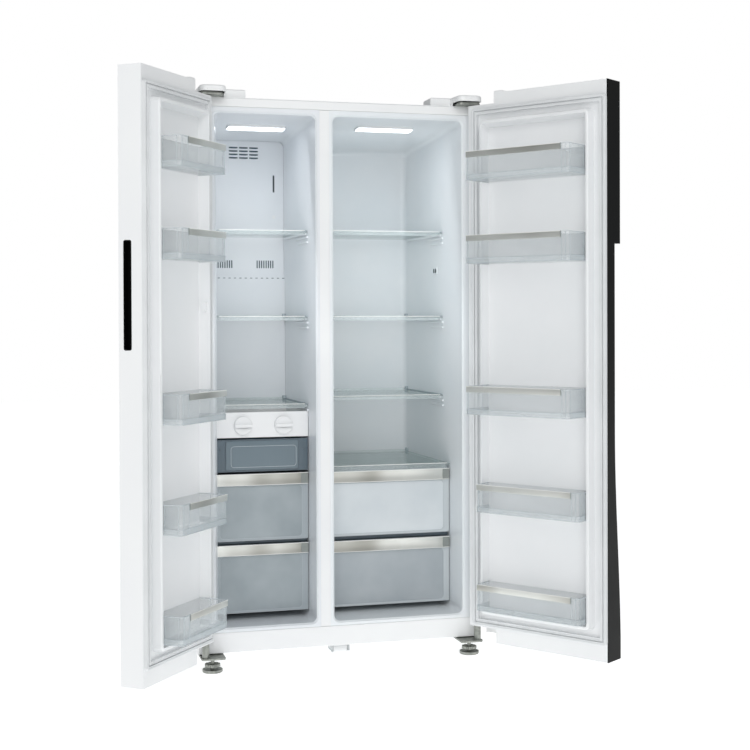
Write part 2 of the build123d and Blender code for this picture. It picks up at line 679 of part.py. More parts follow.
def left_door():
    width = left_door_width
    pocket = grip_pocket(0)
    save("left_door_shell", swing("left", door_shell("left", width, pocket)))
    save("left_door_caps", *[swing("left", c) for c in door_caps("left", width, pocket)])
    save("left_door_liner", swing("left", door_liner("left", width)))
    save("left_door_gasket", swing("left", door_gasket("left", width)))
    box = door_frame("left")
    hollow_part = box(width - 18, width + 2, 35.5, 56.5, 994.5, 1297.5)
    grip = pocket - fillet(hollow_part.edges().filter_by(Axis.X), 4)
    save("left_grip", swing("left", grip))
    for index, top in enumerate(bin_tops):
        height = lowest_bin_height if index == 4 else bin_height
        piece = bin_box("left", bin_margin, width - bin_free_gap, bin_reach_left, top, height)
        save(f"left_bin_{index + 1}", swing("left", piece))


def right_door():
    width = right_door_width
    box = door_frame("right")
    edge = box(width - 3, width + 1, -1, door_thickness + 1, door_bottom - 1, post_top + 1)
    cut = rebate(3) + edge
    save("right_door_shell", swing("right", door_shell("right", width, cut)))
    save("right_door_caps", *[swing("right", c) for c in door_caps("right", width, cut)])
    liner_body = door_liner("right", width) - box(width - 3, width + 1, -1, 20, 0, 1800)
    save("right_door_liner", swing("right", liner_body))
    save("right_door_gasket", swing("right", door_gasket("right", width)))
    trim = box(width - 3, width, 0, door_thickness, door_bottom, door_top)
    door = box(width - 60, width, 0, door_thickness, door_bottom, door_top)
    trim = trim + (rebate(3) & door) - rebate(0)
    save("right_edge_trim", swing("right", trim))
    for index, top in enumerate(bin_tops):
        reach = bin_reach_deep if index < 3 else bin_reach_shallow
        height = lowest_bin_height if index == 4 else bin_height
        piece = bin_box("right", bin_margin, width - bin_free_gap, reach, top, height)
        save(f"right_bin_{index + 1}", swing("right", piece))


def main():
    os.makedirs("parts", exist_ok=True)
    freezer_and_fridge()
    cabinet()
    machine_room()
    evaporator()
    lamps_and_sensor()
    shelves()
    drawers()
    ice_maker()
    hinges()
    feet_and_rollers()
    left_door()
    right_door()


main()
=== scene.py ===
import json
import math

import bmesh
import bpy
from mathutils import Matrix, Vector


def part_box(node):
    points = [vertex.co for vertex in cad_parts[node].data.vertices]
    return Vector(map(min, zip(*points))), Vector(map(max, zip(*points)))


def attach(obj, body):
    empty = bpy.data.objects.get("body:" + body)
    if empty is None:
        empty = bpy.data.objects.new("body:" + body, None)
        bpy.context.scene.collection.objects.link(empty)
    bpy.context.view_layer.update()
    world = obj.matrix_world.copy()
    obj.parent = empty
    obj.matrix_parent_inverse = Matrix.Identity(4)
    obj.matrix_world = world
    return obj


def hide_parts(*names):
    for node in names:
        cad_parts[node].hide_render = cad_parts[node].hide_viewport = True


# Side by side fridge-freezer with its doors open. Metres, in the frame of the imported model.
with open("model.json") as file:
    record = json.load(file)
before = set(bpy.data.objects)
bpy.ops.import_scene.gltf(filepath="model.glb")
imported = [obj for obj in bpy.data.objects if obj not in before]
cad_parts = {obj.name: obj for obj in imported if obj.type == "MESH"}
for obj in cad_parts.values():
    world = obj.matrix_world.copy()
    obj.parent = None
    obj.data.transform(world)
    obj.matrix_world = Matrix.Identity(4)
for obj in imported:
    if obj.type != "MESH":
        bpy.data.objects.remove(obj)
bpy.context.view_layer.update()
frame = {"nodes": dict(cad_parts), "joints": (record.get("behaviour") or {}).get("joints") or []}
nodes = frame["nodes"]
mm = 0.001
print("frame loaded", len(nodes), "nodes")

cameraSetup = {
    "place": (-1.0696, -4.2726, 1.0807),
    "yaw": 15.43,  # degrees to the right of straight ahead
    "pitch": -0.5,
    "roll": -0.19,
    "lens": 65.7,
    "shiftUp": -0.0602,
}


def makeCamera():
    data = bpy.data.cameras.new("camera")
    data.lens = cameraSetup["lens"]
    data.sensor_width = 36.0
    data.shift_y = cameraSetup["shiftUp"]
    data.clip_end = 100
    eye = bpy.data.objects.new("camera", data)
    turn = Matrix.Rotation(math.radians(-cameraSetup["yaw"]), 4, "Z")
    tilt = Matrix.Rotation(math.radians(90 + cameraSetup["pitch"]), 4, "X")
    roll = Matrix.Rotation(math.radians(cameraSetup["roll"]), 4, "Z")
    eye.matrix_world = Matrix.Translation(cameraSetup["place"]) @ turn @ tilt @ roll
    bpy.context.scene.collection.objects.link(eye)
    bpy.context.scene.camera = eye


makeCamera()
bpy.context.scene.view_settings.view_transform = "Standard"


def hexColour(code):
    values = [int(code[i:i + 2], 16) / 255 for i in (1, 3, 5)]
    linear = [v / 12.92 if v <= 0.04045 else ((v + 0.055) / 1.055) ** 2.4 for v in values]
    return (*linear, 1.0)


def addNode(tree, kind, settings=None, links=None):
    node = tree.nodes.new(kind)
    for name, value in (settings or {}).items():
        if isinstance(name, int) or name in node.inputs:
            node.inputs[name].default_value = value
        else:
            setattr(node, name, value)
    for name, source in (links or {}).items():
        tree.links.new(source, node.inputs[name])
    return node


def newMaterial(name, settings):
    material = bpy.data.materials.new(name)
    material.use_nodes = True
    tree = material.node_tree
    tree.nodes.clear()
    shader = addNode(tree, "ShaderNodeBsdfPrincipled", settings)
    addNode(tree, "ShaderNodeOutputMaterial", links={"Surface": shader.outputs[0]})
    place = addNode(tree, "ShaderNodeTexCoord").outputs["Object"]
    return material, tree, shader, place


# a noise whose hills are periodMm apart, drawn out along the axes with a small stretch
def addNoise(tree, place, periodMm, detail, stretch=(1, 1, 1)):
    spread = addNode(tree, "ShaderNodeMapping", {"Scale": stretch}, {"Vector": place})
    settings = {"Scale": 1000 / periodMm, "Detail": detail}
    return addNode(tree, "ShaderNodeTexNoise", settings, {"Vector": spread.outputs[0]})


def addGrain(tree, shader, place, periodMm, depthMm, strength=1.0, stretch=(1, 1, 1), detail=2.0):
    noise = addNoise(tree, place, periodMm, detail, stretch)
    settings = {"Strength": strength, "Distance": depthMm * mm}
    bump = addNode(tree, "ShaderNodeBump", settings, {"Height": noise.outputs[0]})
    tree.links.new(bump.outputs[0], shader.inputs["Normal"])


def addGlossChange(tree, shader, place, low, high, periodMm=70, stretch=(1, 1, 1)):
    noise = addNoise(tree, place, periodMm, 3.0, stretch)
    span = addNode(tree, "ShaderNodeMapRange", {"To Min": low, "To Max": high}, {"Value": noise.outputs[0]})
    tree.links.new(span.outputs[0], shader.inputs["Roughness"])


# the base colour runs from first to second with a source's value
def addTwoTones(tree, shader, source, first, second, positions=(0.0, 1.0)):
    ramp = addNode(tree, "ShaderNodeValToRGB", links={"Fac": source})
    for stop, position, code in zip(ramp.color_ramp.elements, positions, (first, second)):
        stop.position = position
        stop.color = hexColour(code)
    tree.links.new(ramp.outputs[0], shader.inputs["Base Color"])


def addToneChange(tree, shader, place, first, second, periodMm):
    noise = addNoise(tree, place, periodMm, 3.0)
    addTwoTones(tree, shader, noise.outputs[0], first, second, (0.35, 0.65))



def makePowderCoatedSteel():
    # Baked powder on sheet steel: an even white gloss with a faint orange peel.
    material, tree, shader, place = newMaterial("powderCoatedSteel", {"IOR": 1.5, "Metallic": 0.0})
    addToneChange(tree, shader, place, "#f3f4f5", "#f6f7f7", 400)
    addGrain(tree, shader, place, 3.0, 0.03, 0.35)
    addGlossChange(tree, shader, place, 0.28, 0.36)
    return material


def makeFormedPolystyrene(name, first, second):
    # Vacuum formed high-impact polystyrene: soft sheen, slightly uneven where the sheet stretched.
    material, tree, shader, place = newMaterial(name, {"IOR": 1.59})
    addToneChange(tree, shader, place, first, second, 260)
    addGrain(tree, shader, place, 45, 0.25, 0.25, detail=1.0)
    addGlossChange(tree, shader, place, 0.26, 0.38, 90)
    return material


def makeMouldedAbs():
    # Injection moulded ABS with a fine spark texture, which softens its shine.
    # The real grain of 0.3 mm is drawn at 1.5 mm so that it shows.
    material, tree, shader, place = newMaterial("mouldedAbs", {"IOR": 1.54})
    addToneChange(tree, shader, place, "#edeeef", "#f1f2f2", 300)
    addGrain(tree, shader, place, 1.5, 0.02, 0.4)
    addGlossChange(tree, shader, place, 0.36, 0.46)
    return material


def makeGasketPvc():
    # Extruded soft PVC over a magnet: dull, with a faint even grain.
    material, tree, shader, place = newMaterial("gasketPvc", {"IOR": 1.53})
    addToneChange(tree, shader, place, "#dfe1e2", "#e6e8e9", 120)
    addGrain(tree, shader, place, 2.0, 0.05, 0.4)
    addGlossChange(tree, shader, place, 0.5, 0.62)
    return material


def makeClearResin(name, face, edge, alphaFace, alphaEdge, low, high):
    # Moulded clear or frosted styrene: the flats almost vanish and the edges gather grey.
    material, tree, shader, place = newMaterial(name, {"IOR": 1.57})
    facing = addNode(tree, "ShaderNodeLayerWeight", {"Blend": 0.35}).outputs["Facing"]
    curve = addNode(tree, "ShaderNodeMapRange", {"To Min": alphaFace, "To Max": alphaEdge}, {"Value": facing})
    addTwoTones(tree, shader, facing, face, edge)
    tree.links.new(curve.outputs[0], shader.inputs["Alpha"])
    addGrain(tree, shader, place, 30, 0.1, 0.2, detail=1.0)
    addGlossChange(tree, shader, place, low, high, 50)
    return material


def makeFrostedPane(name, first, second):
    # Frosted styrene pane: a cloudy grey that lightens in soft patches, with a light satin face.
    material, tree, shader, place = newMaterial(name, {"IOR": 1.59})
    addToneChange(tree, shader, place, first, second, 150)
    addGrain(tree, shader, place, 1.6, 0.03, 0.35)
    addGlossChange(tree, shader, place, 0.3, 0.42, 40)
    return material


def makeBrushedSteel():
    # Stainless strip brushed along its length: broad streaks of light and grey, a painted sheen.
    # The 0.2 mm scratches are drawn 1.2 mm apart so that they show.
    material, tree, shader, place = newMaterial("brushedSteel", {"Metallic": 1.0})
    sheen = addNoise(tree, place, 170, 1.0, (1, 0.3, 0.1))
    addTwoTones(tree, shader, sheen.outputs[0], "#a5a49d", "#dedfda", (0.38, 0.6))
    addGrain(tree, shader, place, 1.2, 0.02, 0.35, (0.02, 0.02, 1.0))
    addGlossChange(tree, shader, place, 0.26, 0.42, 2.0, (0.02, 0.02, 1.0))
    return material


def makeBlackAbs():
    # Black ABS, satin: a deep tone that still takes a soft highlight along its edges.
    material, tree, shader, place = newMaterial("blackAbs", {"IOR": 1.54, "Specular IOR Level": 0.1})
    addToneChange(tree, shader, place, "#030404", "#060707", 200)
    addGrain(tree, shader, place, 1.5, 0.02, 0.4)
    addGlossChange(tree, shader, place, 0.3, 0.42)
    return material


def makeZincSteel():
    # Zinc plated pressed steel: grey metal with a mottled, cloudy gloss.
    material, tree, shader, place = newMaterial("zincSteel", {"Metallic": 1.0})
    addToneChange(tree, shader, place, "#8c8f8a", "#a9aba5", 12)
    addGrain(tree, shader, place, 4, 0.06, 0.4)
    addGlossChange(tree, shader, place, 0.35, 0.55, 15)
    return material


def makeEnamel(name, first, second, low, high):
    # Stoved enamel or lacquer over a drawn shell: an even coat that takes a clear highlight. The same coat
    # also carries the pale strips of painted highlight and the dark panes of painted shade in slots and gaps.
    material, tree, shader, place = newMaterial(name, {"IOR": 1.5})
    addToneChange(tree, shader, place, first, second, 80)
    addGrain(tree, shader, place, 3, 0.05, 0.4)
    addGlossChange(tree, shader, place, low, high)
    return material


def makeGalvanised():
    # Hot dipped sheet: pale grey with a spangle about 14 mm across.
    material, tree, shader, place = newMaterial("galvanisedSheet", {"Metallic": 0.7})
    spangle = addNode(tree, "ShaderNodeTexVoronoi", {"Scale": 1000 / 14}, {"Vector": place})
    addTwoTones(tree, shader, spangle.outputs["Color"], "#b9bdbf", "#cdd0d1")
    addGlossChange(tree, shader, place, 0.4, 0.55, 20)
    return material


def makeLampDiffuser():
    # Opal polycarbonate lit from behind by cool white diodes: it glows evenly.
    glow = {"Emission Color": hexColour("#f3f9ff"), "Emission Strength": 3.0}
    material, tree, shader, place = newMaterial("opalDiffuser", {"IOR": 1.58, "Roughness": 0.4, **glow})
    addToneChange(tree, shader, place, "#f4f8fb", "#fbfdff", 60)
    addGrain(tree, shader, place, 3, 0.05, 0.3)
    return material


def makeFoam():
    # Foamed polyurethane: pale yellow, porous and quite dull.
    material, tree, shader, place = newMaterial("polyurethaneFoam", {"IOR": 1.45, "Roughness": 0.9})
    addToneChange(tree, shader, place, "#d9cd9b", "#e5dbb0", 18)
    addGrain(tree, shader, place, 2, 0.4, 0.8)
    return material


finishes = {
    "steelWhite": makePowderCoatedSteel(),
    # the cool blue-grey of the two cabinet liners is painted shade with a cool lamp tint
    "fridgeLiner": makeFormedPolystyrene("formedPolystyreneFridge", "#e8edf0", "#eef1f3"),
    "freezerLiner": makeFormedPolystyrene("formedPolystyreneFreezer", "#e4e8ec", "#e9ecef"),
    "doorLiner": makeFormedPolystyrene("formedPolystyreneDoor", "#eceeef", "#f0f1f2"),
    "abs": makeMouldedAbs(),
    "gasket": makeGasketPvc(),
    "clear": makeClearResin("clearStyrene", "#eef3f5", "#a9b6bc", 0.05, 0.5, 0.06, 0.12),
    "clearRim": makeClearResin("clearStyreneRim", "#dde4e7", "#7d8b92", 0.4, 0.9, 0.08, 0.14),
    "fridgeDrawer": makeClearResin("frostedStyreneFridge", "#d3dadd", "#b6c0c5", 0.85, 0.95, 0.3, 0.42),
    "freezerDrawer": makeClearResin("frostedStyreneFreezer", "#b4bdc2", "#9aa5ab", 0.88, 0.96, 0.28, 0.4),
    "freezerPane": makeFrostedPane("frostedPaneFreezer", "#939da2", "#a6afb3"),
    # the fridge's upper pane is a lit copy and its lower pane a shaded copy of one frosted pane: painted
    # light and shade
    "fridgePane": makeFrostedPane("frostedPaneFridgeLit", "#ccd3d7", "#d6dcdf"),
    "fridgePaneShaded": makeFrostedPane("frostedPaneFridgeShaded", "#a3abb0", "#b0b7bb"),
    "frostEdge": makeClearResin("frostedBead", "#d3dade", "#b0bbc1", 0.85, 0.96, 0.2, 0.3),
    "bucketPane": makeClearResin("smokePane", "#76868f", "#67767f", 0.85, 0.96, 0.12, 0.2),
    "bucket": makeClearResin("smokeStyrene", "#62717b", "#52626c", 0.86, 0.97, 0.16, 0.26),
    "clearFoot": makeClearResin("clearStyreneFoot", "#e3eaec", "#9fadb3", 0.22, 0.7, 0.08, 0.14),
    "glass": makeClearResin("toughenedGlass", "#d4e2e1", "#7f9a96", 0.16, 0.75, 0.03, 0.06),
    "steelTrim": makeBrushedSteel(),
    "shelfLip": makeClearResin("clearShelfLip", "#dfe6ea", "#b4c0c6", 0.08, 0.35, 0.1, 0.16),
    "shelfBar": makeClearResin("clearShelfBar", "#c9d4da", "#96a6ae", 0.7, 0.9, 0.1, 0.18),
    # thin pale strips along the bin trims, drawer trims and shelf fronts: painted highlights
    "highlightStrip": makeEnamel("paintedHighlightLip", "#eeeeea", "#f6f6f3", 0.15, 0.22),
    "trimEnd": makeEnamel("greyEndCap", "#868b88", "#959a97", 0.35, 0.45),
    # a dark coat for the bucket window's frame and dots, and for the painted shade in the gaps between
    # drawers
    "darkLine": makeEnamel("darkMouldAndGapShade", "#4d5a63", "#596770", 0.3, 0.4),
    "black": makeBlackAbs(),
    "zinc": makeZincSteel(),
    "compressorBlack": makeEnamel("blackEnamel", "#141515", "#1c1d1d", 0.3, 0.45),
    "galvanised": makeGalvanised(),
    "lamp": makeLampDiffuser(),
    "foam": makeFoam(),
    # dark panes in the sensor's slots and the cover's side slots: painted shadow in the openings
    "shadowGap": makeEnamel("shadowGapPaint", "#27323a", "#303b43", 0.5, 0.6),
    # dark panes in the cover's grille, vents and ledge marks: painted shade in the openings
    "slotShade": makeEnamel("slotShadePaint", "#47565f", "#516069", 0.5, 0.6),
}
print("finishes made", len(finishes))

nodeFinish = {
    "steelWhite": ("cabinet_shell", "left_door_shell", "right_door_shell"),
    "fridgeLiner": ("fridge_liner", "sensor_cover"),
    "freezerLiner": ("freezer_liner", "evaporator_cover"),
    "doorLiner": ("left_door_liner", "right_door_liner"),
    "abs": (
        "front_apron", "top_rail", "mullion_cover", "hinge_covers", "left_door_caps", "right_door_caps",
        "ice_maker_frame", "left_ice_tray", "right_ice_tray", "fan_blade", "lamp_covers",
        "centre_roller", "left_rear_roller", "right_rear_roller",
    ),
    "gasket": ("left_door_gasket", "right_door_gasket"),
    "clear": tuple(f"{side}_bin_{number}" for side in ("left", "right") for number in range(1, 6)),
    "fridgeDrawer": ("fridge_drawer_upper", "fridge_drawer_lower"),
    "freezerDrawer": ("freezer_drawer_upper", "freezer_drawer_lower"),
    "bucket": ("ice_bucket",),
    "glass": (
        "freezer_shelf_1", "freezer_shelf_2", "freezer_shelf_3",
        "fridge_shelf_1", "fridge_shelf_2", "fridge_shelf_3", "crisper_cover",
    ),
    "black": ("left_grip", "right_edge_trim", "fan_motor"),
    "zinc": ("top_hinges", "bottom_hinges", "left_foot", "right_foot", "evaporator_coil"),
    "compressorBlack": ("compressor",),
    "galvanised": ("back_panel", "rear_cover", "base_tray"),
    "foam": ("cabinet_foam",),
}


def dressNodes():
    for finish, names in nodeFinish.items():
        for name in names:
            slots = nodes[name].data.materials
            slots.clear()
            slots.append(finishes[finish])


dressNodes()

clearFinishes = ("clear", "clearRim", "clearFoot", "glass", "shelfLip")
for clearName in nodeFinish["clear"] + nodeFinish["glass"]:
    nodes[clearName].visible_shadow = False  # clear resin and glass let the light through


def newPiece(name, mesh, finish, body, smoothAngle=40):
    piece = bpy.data.objects.new(name, mesh)
    bpy.context.scene.collection.objects.link(piece)
    mesh.materials.append(finishes[finish])
    mesh.shade_smooth()
    mesh.set_sharp_from_angle(angle=math.radians(smoothAngle))
    piece.visible_shadow = finish not in clearFinishes
    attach(piece, body)
    return piece


def toMesh(shape, name):
    mesh = bpy.data.meshes.new(name)
    shape.to_mesh(mesh)
    shape.free()
    return mesh


def arcPoints(centre, radius, start, end, count=6):
    points = []
    for step in range(count + 1):
        angle = math.radians(start + (end - start) * step / count)
        points.append((centre[0] + radius * math.cos(angle), centre[1] + radius * math.sin(angle)))
    return points


def circlePoints(centre, radius, count):
    return arcPoints(centre, radius, 0, 360, count)[:-1]


def roundedRing(x0, x1, y0, y1, radius):
    corners = (
        ((x1 - radius, y1 - radius), 0),
        ((x0 + radius, y1 - radius), 90),
        ((x0 + radius, y0 + radius), 180),
        ((x1 - radius, y0 + radius), 270),
    )
    points = []
    for centre, start in corners:
        points += arcPoints(centre, radius, start, start + 90)
    return points


# a section with soft corners: depth outward, height up
def roundedBar(depth, height, edge):
    return roundedRing(0, depth, 0, height, edge)


# a skin of quads from each ring of points to the next
def skinRings(shape, rings):
    for ring, following in zip(rings, rings[1:]):
        for j in range(len(ring)):
            k = (j + 1) % len(ring)
            shape.faces.new((ring[j], ring[k], following[k], following[j]))


# Runs a section along a flat path. A section's point is (outward from the path, along the third axis),
# and place turns (path, path, third axis) into a spot in the frame.
def sweep(path, section, place, closed):
    shape = bmesh.new()
    rings = []
    count = len(path)
    sharpest = 0.4  # keeps a mitre from running far out at a tight corner
    for i, (a, b) in enumerate(path):
        before = path[i - 1] if closed or i else path[i]
        after = path[(i + 1) % count] if closed or i < count - 1 else path[i]
        first = Vector((a - before[0], b - before[1]))
        second = Vector((after[0] - a, after[1] - b))
        first = first.normalized() if first.length else second.normalized()
        second = second.normalized() if second.length else first
        along = (first + second).normalized()
        outward = Vector((along.y, -along.x))
        mitre = 1 / max(sharpest, outward.dot(Vector((first.y, -first.x))))
        ring = [place(a + outward.x * out * mitre, b + outward.y * out * mitre, up) for out, up in section]
        rings.append([shape.verts.new(spot) for spot in ring])
    skinRings(shape, rings + rings[:1] if closed else rings)
    if not closed:
        shape.faces.new(rings[0])
        shape.faces.new(list(reversed(rings[-1])))
    bmesh.ops.recalc_face_normals(shape, faces=shape.faces)
    return toMesh(shape, "sweep")


# places for paths drawn flat at a height, and for paths drawn on an upright face at a depth
def lyingAt(z):
    return lambda a, b, c: Vector((a, b, z + c))


def uprightAt(y):
    return lambda a, b, c: Vector((a, y + c, b))


# a pane inside a ring, standing forward a little in its middle
def dishedPanel(ring, frontY, depth):
    shape = bmesh.new()
    sunk = 0.3 * mm
    middleX = sum(a for a, _ in ring) / len(ring)
    middleZ = sum(b for _, b in ring) / len(ring)
    rings = []
    for share in (1.0, 0.97, 0.85, 0.6, 0.3):
        y = frontY - sunk - depth * (1 - share ** 4)
        near = [(middleX + (a - middleX) * share, y, middleZ + (b - middleZ) * share) for a, b in ring]
        rings.append([shape.verts.new(spot) for spot in near])
    skinRings(shape, rings)
    shape.faces.new(rings[-1])
    bmesh.ops.recalc_face_normals(shape, faces=shape.faces)
    return toMesh(shape, "pane")


# doors: u runs from the hinge edge, v from the inner face towards the door's front

doorFacts = {
    "hingeInset": 17 * mm,
    "hingeForward": 19 * mm,
    "dyke": 30 * mm,  # the liner's raised border
}


def doorSpace(side):
    joint = next(j for j in frame["joints"] if j["name"] == f"{side}_door_swing")
    pivot = Vector((joint["pos_m"][0], joint["pos_m"][1]))
    opened = math.radians(-joint["range_deg"][0]) * joint["axis"][2]
    across = Vector((1.0 if side == "left" else -1.0, 0.0))
    outward = Vector((0.0, -1.0))
    turn = Matrix.Rotation(opened, 2)
    across, outward = turn @ across, turn @ outward
    corner = pivot - across * doorFacts["hingeInset"] - outward * doorFacts["hingeForward"]

    def toFrame(u, v, z):
        spot = corner + across * u + outward * v
        return Vector((spot.x, spot.y, z))

    def extent(node):
        found = [(Vector((p.co.x, p.co.y)) - corner, p.co.z) for p in nodes[node].data.vertices]
        us = [flat.dot(across) for flat, _ in found]
        vs = [flat.dot(outward) for flat, _ in found]
        zs = [z for _, z in found]
        return min(us), max(us), min(vs), max(vs), min(zs), max(zs)

    def depthOf(point):
        return (Vector((point.x, point.y)) - corner).dot(outward)

    return toFrame, extent, depthOf


binParts = {
    "count": 5,
    "cornerRadius": 9 * mm,
    "backSlack": 0.3 * mm,
    "rim": (2.6 * mm, 2.4 * mm, 0.8 * mm),  # depth, height, edge, as in the four below
    "foot": (1.0 * mm, 15 * mm, 0.4 * mm),
    "line": (1.7 * mm, 1.8 * mm, 0.6 * mm),
    "base": (1.9 * mm, 1.8 * mm, 0.6 * mm),
    "trim": (2.2 * mm, 19 * mm, 0.9 * mm),
    "trimStart": 3 * mm,
    "trimEnd": {"left": 2 * mm, "right": 20 * mm},  # past the end panel
    "trimProud": 0.4 * mm,
    "trimBow": 0.9 * mm,
    "trimLift": 0.5 * mm,
    "glint": (1.2 * mm, 1.5 * mm, 0.4 * mm),
    "glintForward": 1.6 * mm,
    "glintDrop": 0.9 * mm,
    "plugDepth": 2.4 * mm,
    "plugEdge": 0.8 * mm,
    "divider": 46 * mm,  # the end panel stands this far in from the free end
    "rib": {"wide": 1.7 * mm, "depth": 1.1 * mm, "edge": 0.4 * mm, "short": 4 * mm, "lift": 2 * mm},
    "post": {"wide": 1.2 * mm, "depth": 1.6 * mm, "edge": 0.5 * mm, "short": 3 * mm, "lift": 1.5 * mm},
}


# the bin's body without the face that lies on the liner, where clear resin would show as dark
def openBackedBin(node, depthOf, backDepth):
    shape = bmesh.new()
    shape.from_mesh(node.data)
    hidden = [f for f in shape.faces if all(depthOf(v.co) > backDepth for v in f.verts)]
    bmesh.ops.delete(shape, geom=hidden, context="FACES")
    bmesh.ops.remove_doubles(shape, verts=shape.verts, dist=0.02 * mm)
    return toMesh(shape, "binBody")


def dressBins(side):
    toFrame, extent, depthOf = doorSpace(side)
    parts, rib, post = binParts, binParts["rib"], binParts["post"]
    tall = parts["trim"][1]

    def addStrip(name, path, section, base, finish):
        mesh = sweep(path, roundedBar(*section), lambda a, b, c: toFrame(a, b, base + c), False)
        newPiece(name, mesh, finish, f"{side}_door")

    for number in range(1, parts["count"] + 1):
        node = f"{side}_bin_{number}"
        u0, u1, v0, v1, z0, z1 = extent(node)
        opened = openBackedBin(nodes[node], depthOf, v1 - parts["backSlack"])
        tub = newPiece(f"{side}BinBody{number}", opened, "clear", f"{side}_door")
        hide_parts(node)
        r = parts["cornerRadius"]
        nearHinge = arcPoints((u0 + r, v0 + r), r, 180, 270)
        nearFree = arcPoints((u1 - r, v0 + r), r, 270, 360)
        front = [(u0, v1)] + nearHinge + nearFree + [(u1, v1)]
        rimBase = z1 - parts["rim"][1]
        addStrip(f"{side}BinRim{number}", front, parts["rim"], rimBase, "clearRim")
        addStrip(f"{side}BinFoot{number}", front, parts["foot"], z0, "clearFoot")
        lineBase = z0 + parts["foot"][1]
        addStrip(f"{side}BinLine{number}", front, parts["line"], lineBase, "clearRim")
        addStrip(f"{side}BinBase{number}", front, parts["base"], z0, "clearRim")

        start = u0 + parts["trimStart"]
        end = u1 - parts["divider"] + parts["trimEnd"][side]
        path = [
            (start, v0 - parts["trimProud"]),
            ((start + end) / 2, v0 - parts["trimBow"]),
            (end, v0 - parts["trimProud"]),
        ]
        trimBase = z1 - tall + parts["trimLift"]
        addStrip(f"{side}BinTrim{number}", path, parts["trim"], trimBase, "steelTrim")
        # a thin pale strip along the trim's top: a painted highlight
        further = [(a, b - parts["glintForward"]) for a, b in path]
        glintBase = z1 - parts["glintDrop"]
        addStrip(f"{side}BinTrimTop{number}", further, parts["glint"], glintBase, "highlightStrip")
        plug = [(end - 0.4 * mm, v0 - 0.5 * mm), (end + 1.8 * mm, v0 - 0.5 * mm)]
        section = (parts["plugDepth"], tall + 0.4 * mm, parts["plugEdge"])
        addStrip(f"{side}BinTrimEnd{number}", plug, section, z1 - tall + 0.3 * mm, "trimEnd")

        section = (rib["depth"], z1 - z0 - rib["short"], rib["edge"])
        for mark, edge in (("A", u0 + 9 * mm), ("B", u1 - 10 * mm), ("C", end + 3 * mm)):
            name = f"{side}BinRib{number}{mark}"
            path = [(edge, v0 - 0.1 * mm), (edge + rib["wide"], v0 - 0.1 * mm)]
            addStrip(name, path, section, z0 + rib["lift"], "clearRim")
        section = (post["depth"], z1 - z0 - post["short"], post["edge"])
        for mark, edge in (("Hinge", u0 - 0.4 * mm), ("Free", u1 - 0.8 * mm)):
            for index, back in enumerate((v0 + 12 * mm, -doorFacts["dyke"] - 1 * mm)):
                name = f"{side}Bin{mark}Post{number}{index}"
                path = [(edge, back), (edge + post["wide"], back)]
                addStrip(name, path, section, z0 + post["lift"], "clearRim")


gasketFolds = {
    "inset": 4 * mm,
    "pitch": 11 * mm,
    "width": 5 * mm,
    "proud": 1.2 * mm,
    "root": 3 * mm,
    "corner": 6 * mm,
    "edge": 0.8 * mm,
}


def dressGaskets(side):
    toFrame, extent, _ = doorSpace(side)
    folds = gasketFolds
    u0, u1, v0, v1, z0, z1 = extent(f"{side}_door_gasket")
    section = roundedBar(folds["width"] / 2, folds["proud"] + folds["root"], folds["edge"])
    for index, inset in enumerate((folds["inset"], folds["inset"] + folds["pitch"])):
        ring = roundedRing(u0 + inset, u1 - inset, z0 + inset, z1 - inset, folds["corner"])
        fold = sweep(ring, section, lambda a, b, c: toFrame(a, v0 - folds["proud"] + c, b), True)
        newPiece(f"{side}GasketFold{index}", fold, "gasket", f"{side}_door")


postParts = {
    "start": 98 * mm,
    "width": 30 * mm,
    "depth": (0.6 * mm, 46 * mm),
    "corner": 2.5 * mm,
    "low": 1756 * mm,
    "top": 1796 * mm,
    "rounding": ((0.0, 1.5 * mm), (0.8 * mm, 0.4 * mm), (2.0 * mm, 0.0)),  # inset, drop
}


# the small upright block beside the hinge, moulded on the door's top cap
def addCapPost(side):
    toFrame, _, _ = doorSpace(side)
    start, wide = postParts["start"], postParts["width"]
    ring = roundedRing(start, start + wide, *postParts["depth"], postParts["corner"])
    levels = [(0.0, postParts["low"])]
    levels += [(inset, postParts["top"] - drop) for inset, drop in postParts["rounding"]]
    middle = (start + wide / 2, sum(postParts["depth"]) / 2)
    shape = bmesh.new()
    rings = []
    for inset, z in levels:
        near = []
        for a, b in ring:
            inwardA = 1 if a > middle[0] else -1
            inwardB = 1 if b > middle[1] else -1
            near.append((a - inset * inwardA, b - inset * inwardB))
        rings.append([shape.verts.new(toFrame(a, b, z)) for a, b in near])
    skinRings(shape, rings)
    shape.faces.new(rings[-1])
    shape.faces.new(rings[0])
    bmesh.ops.recalc_face_normals(shape, faces=shape.faces)
    newPiece(f"{side}CapPost", toMesh(shape, "post"), "abs", f"{side}_door")


for doorSide in ("left", "right"):
    dressBins(doorSide)
    dressGaskets(doorSide)
    addCapPost(doorSide)
print("door bins and gaskets dressed")

drawerParts = {
    "trim": 36 * mm,
    "lowFreezerTrim": 33 * mm,
    "trimDepth": 3.4 * mm,
    "hollow": 1.6 * mm,
    "border": 12 * mm,
    "endCap": 24 * mm,
    "bow": 2.0 * mm,
    "sideGap": 0.5 * mm,
    "highlightLines": (("Top", 1.6 * mm, 2.0 * mm), ("Bottom", 0.4 * mm, 1.8 * mm)),  # mark, drop, height
    "face": 4 * mm,  # the pane's depth behind the drawer's foremost point
    "bead": (1.2 * mm, 1.4 * mm, 0.5 * mm),
    "rimBar": (1.4 * mm, 1.2 * mm, 0.5 * mm),
}


